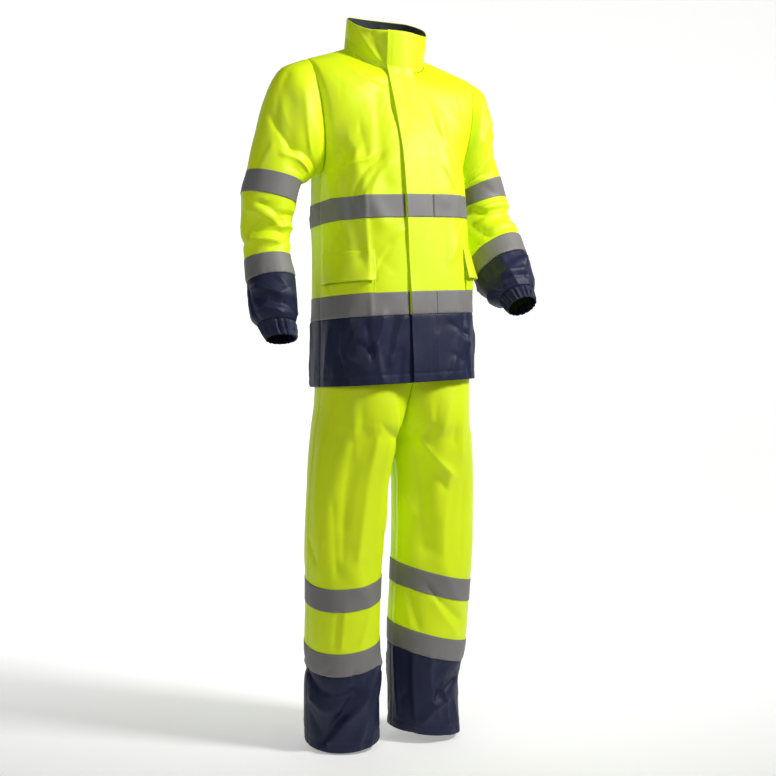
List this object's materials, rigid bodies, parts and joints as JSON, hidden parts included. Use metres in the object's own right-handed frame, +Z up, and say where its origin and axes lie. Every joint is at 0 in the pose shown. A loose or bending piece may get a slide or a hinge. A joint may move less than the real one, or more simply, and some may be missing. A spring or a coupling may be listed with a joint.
{
  "type": "high-visibility rain suit",
  "caption": "High-visibility rain jacket and trousers in fluorescent yellow and navy with silver-grey reflective tapes, filled out as worn, with a stand collar and a storm flap.",
  "frame": {"origin": "middle of the neck, level with the shoulders, where the wearer holds the suit up", "axes": "+Z up, -Y the way the suit faces, +X the wearer's left"},
  "size_m": [0.6666, 0.3232, 1.6486],
  "materials": {
    "yellow_shell": "smooth coated polyester, fluorescent yellow",
    "navy_shell": "smooth coated polyester, navy",
    "navy_lining": "matt knitted lining, navy",
    "reflective_tape": "silver-grey glass-bead tape"
  },
  "bodies": {
    "root": {"chest_tape_back": "reflective_tape", "chest_tape_left": "reflective_tape", "chest_tape_right": "reflective_tape", "collar": "yellow_shell", "collar_lining": "navy_lining", "cuff_left": "navy_shell", "cuff_right": "navy_shell", "jacket_back": "yellow_shell", "jacket_front_left": "yellow_shell", "jacket_front_right": "yellow_shell", "jacket_hem_back": "navy_shell", "jacket_hem_front_left": "navy_shell", "jacket_hem_front_right": "navy_shell", "leg_end_back_left": "navy_shell", "leg_end_back_right": "navy_shell", "leg_end_front_left": "navy_shell", "leg_end_front_right": "navy_shell", "leg_lower_tape_left": "reflective_tape", "leg_lower_tape_right": "reflective_tape", "leg_upper_tape_left": "reflective_tape", "leg_upper_tape_right": "reflective_tape", "lower_tape_back": "reflective_tape", "lower_tape_left": "reflective_tape", "lower_tape_right": "reflective_tape", "pocket_flap_left": "yellow_shell", "pocket_flap_right": "yellow_shell", "pocket_left": "yellow_shell", "pocket_right": "yellow_shell", "sleeve_end_left": "navy_shell", "sleeve_end_right": "navy_shell", "sleeve_left": "yellow_shell", "sleeve_lower_tape_left": "reflective_tape", "sleeve_lower_tape_right": "reflective_tape", "sleeve_right": "yellow_shell", "sleeve_upper_tape_left": "reflective_tape", "sleeve_upper_tape_right": "reflective_tape", "storm_flap": "yellow_shell", "storm_flap_chest_tape": "reflective_tape", "storm_flap_hem": "navy_shell", "storm_flap_lower_tape": "reflective_tape", "trouser_back_left": "yellow_shell", "trouser_back_right": "yellow_shell", "trouser_front_left": "yellow_shell", "trouser_front_right": "yellow_shell", "waistband": "yellow_shell"}
  },
  "joints": []
}
